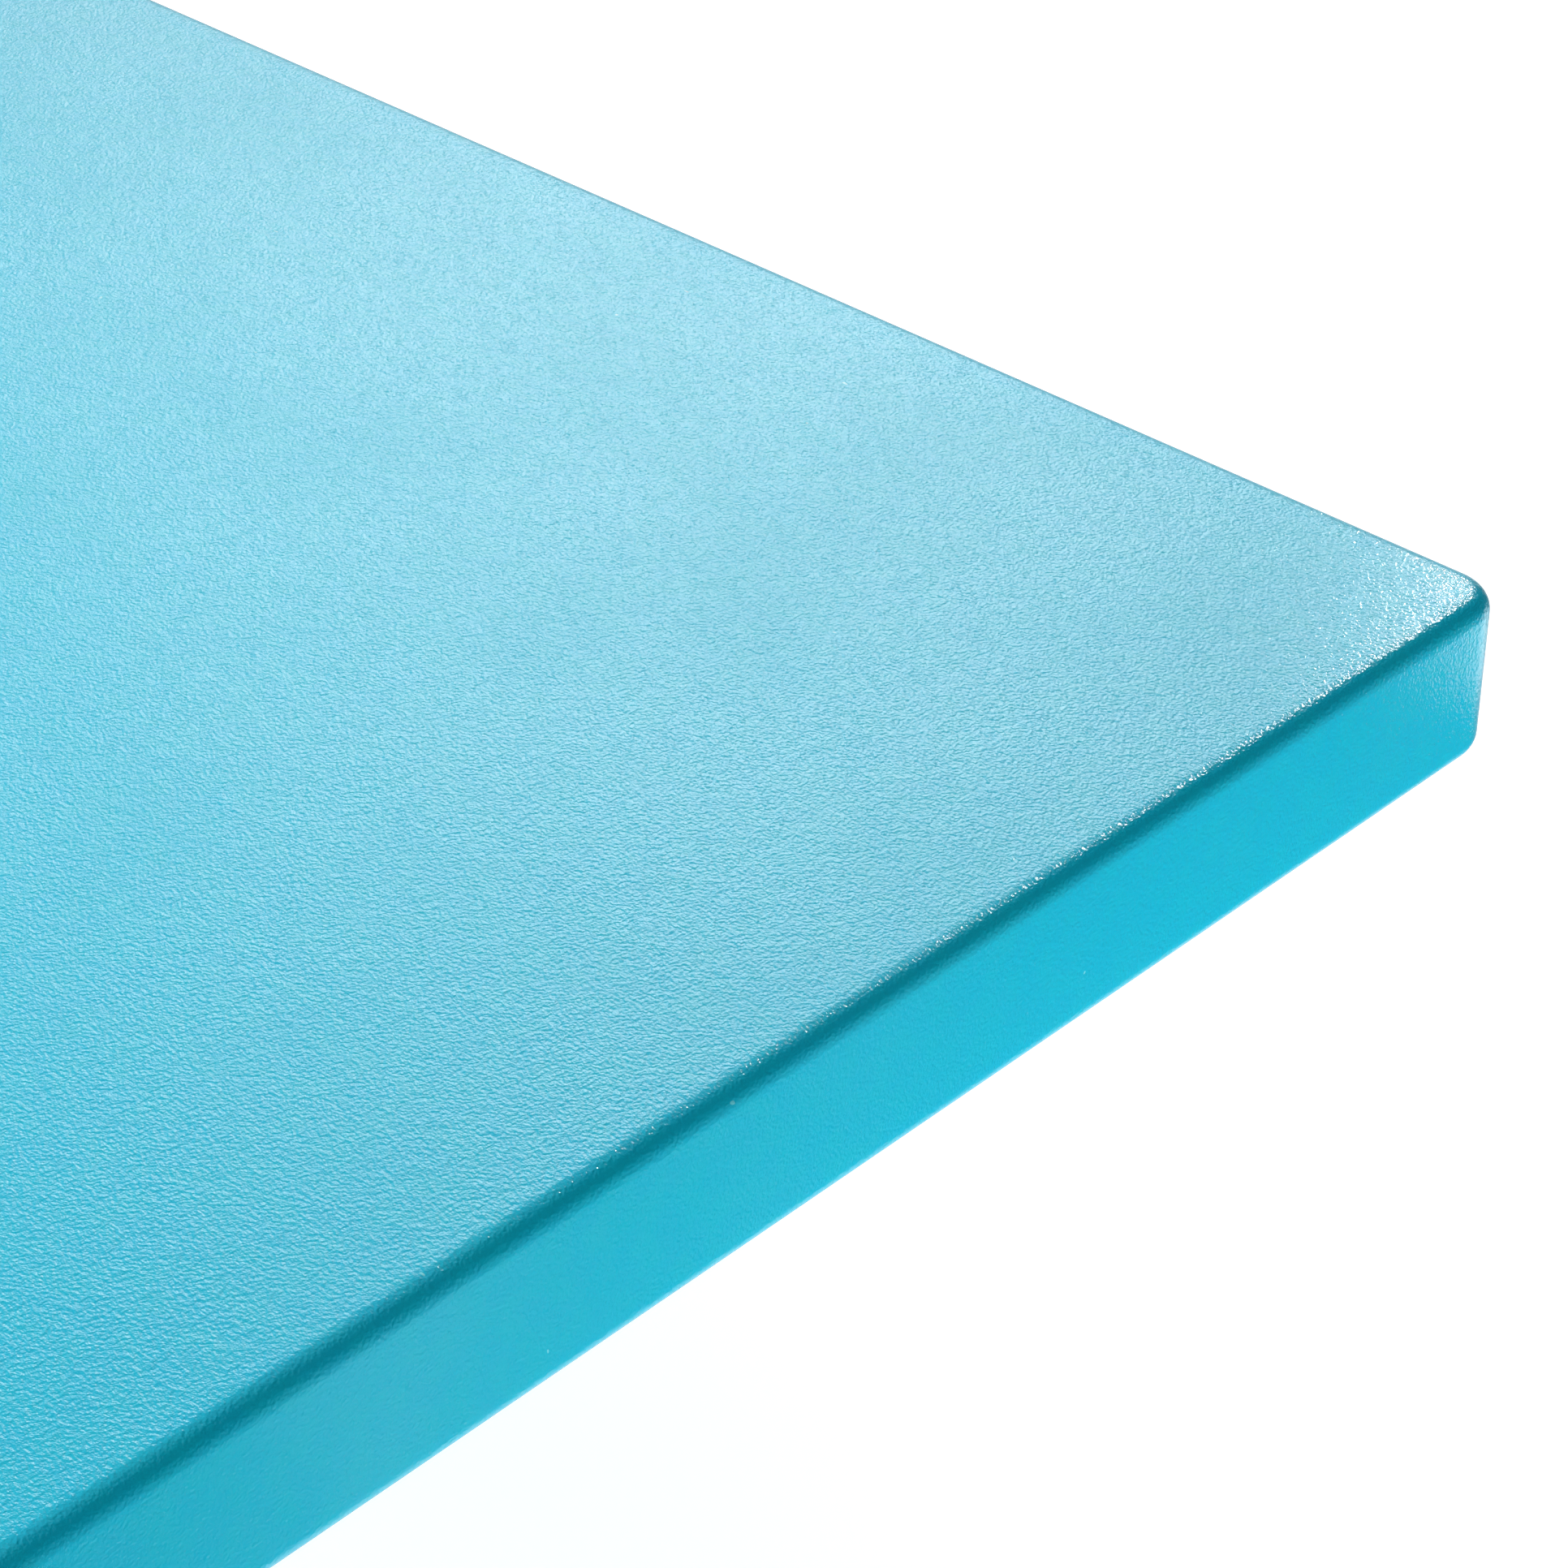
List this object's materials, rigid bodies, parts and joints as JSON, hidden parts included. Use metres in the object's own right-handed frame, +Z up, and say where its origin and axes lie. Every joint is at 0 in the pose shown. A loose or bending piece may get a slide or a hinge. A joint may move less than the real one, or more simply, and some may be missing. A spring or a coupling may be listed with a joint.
{
  "type": "diving board",
  "caption": "Swimming-pool diving board with a cored, textured plank on a rocker frame, pivot shaft and coil springs over a bent-tube deck stand.",
  "frame": {"origin": "centre of the deck anchor bolts, at deck level under the foot gaskets", "axes": "+X from the heel towards the tip over the water, +Y to the diver's left, +Z up"},
  "size_m": [2.548, 0.54, 0.5085],
  "materials": {
    "board_shell": "glossy turquoise gelcoat with a fine all-over orange-peel texture",
    "panel": "turquoise gelcoat, smooth, semi-gloss",
    "laminate": "glass-fibre laminate, translucent greenish",
    "core_wood": "sawn softwood lengths, glued",
    "stand_steel": "satin stainless steel, welded",
    "fastener_steel": "bright stainless fasteners",
    "spring_steel": "black epoxy-coated spring steel",
    "pad_rubber": "black rubber",
    "bush_nylon": "natural nylon",
    "cap_plastic": "black plastic plugs"
  },
  "bodies": {
    "stand": {"side_hoop_left": "stand_steel", "side_hoop_right": "stand_steel", "pivot_ear_left": "stand_steel", "pivot_ear_right": "stand_steel", "pivot_shaft": "fastener_steel", "thrust_washers": "bush_nylon", "shaft_washers": "fastener_steel", "shaft_nuts": "fastener_steel", "coil_spring_left": "spring_steel", "coil_spring_right": "spring_steel", "lower_spring_seats": "stand_steel", "bump_stop": "pad_rubber", "foot_plates": "stand_steel", "foot_gaskets": "pad_rubber", "front_cross_tube": "stand_steel", "rear_cross_tube": "stand_steel", "spring_shelf": "stand_steel", "shelf_bar_front": "stand_steel", "shelf_bar_rear": "stand_steel"},
    "rocker": {"board_skin": "board_shell", "underside_panel": "panel", "bottom_laminate": "laminate", "top_laminate": "laminate", "core_stringer_1": "core_wood", "core_stringer_2": "core_wood", "core_stringer_3": "core_wood", "core_stringer_4": "core_wood", "core_stringer_5": "core_wood", "core_stringer_6": "core_wood", "core_stringer_7": "core_wood", "bolt_sleeves": "fastener_steel", "bolt_top_washers": "fastener_steel", "board_bolts": "fastener_steel", "bolt_nut_washers": "fastener_steel", "board_nuts": "fastener_steel", "rocker_arm_left": "stand_steel", "rocker_arm_right": "stand_steel", "arm_end_caps": "cap_plastic", "hub_tube": "stand_steel", "rocker_brace": "stand_steel", "heel_plate": "stand_steel", "heel_pad": "pad_rubber", "fulcrum_plate": "stand_steel", "fulcrum_pad": "pad_rubber", "spring_plate": "stand_steel", "pivot_bushes": "bush_nylon", "upper_spring_seats": "stand_steel", "guide_rods": "fastener_steel", "rebound_pads": "pad_rubber", "rebound_washers": "fastener_steel", "rebound_nuts": "fastener_steel"}
  },
  "joints": [
    {"name": "board_pivot", "type": "hinge", "parent": "stand", "child": "rocker", "pos_m": [-0.35, 0, 0.4], "axis": [0, 1, 0], "range_deg": [0, 4], "stiffness_Nm_per_rad": 52400, "springref_deg": -0.84, "deforming": ["coil_spring_left", "coil_spring_right"]}
  ]
}
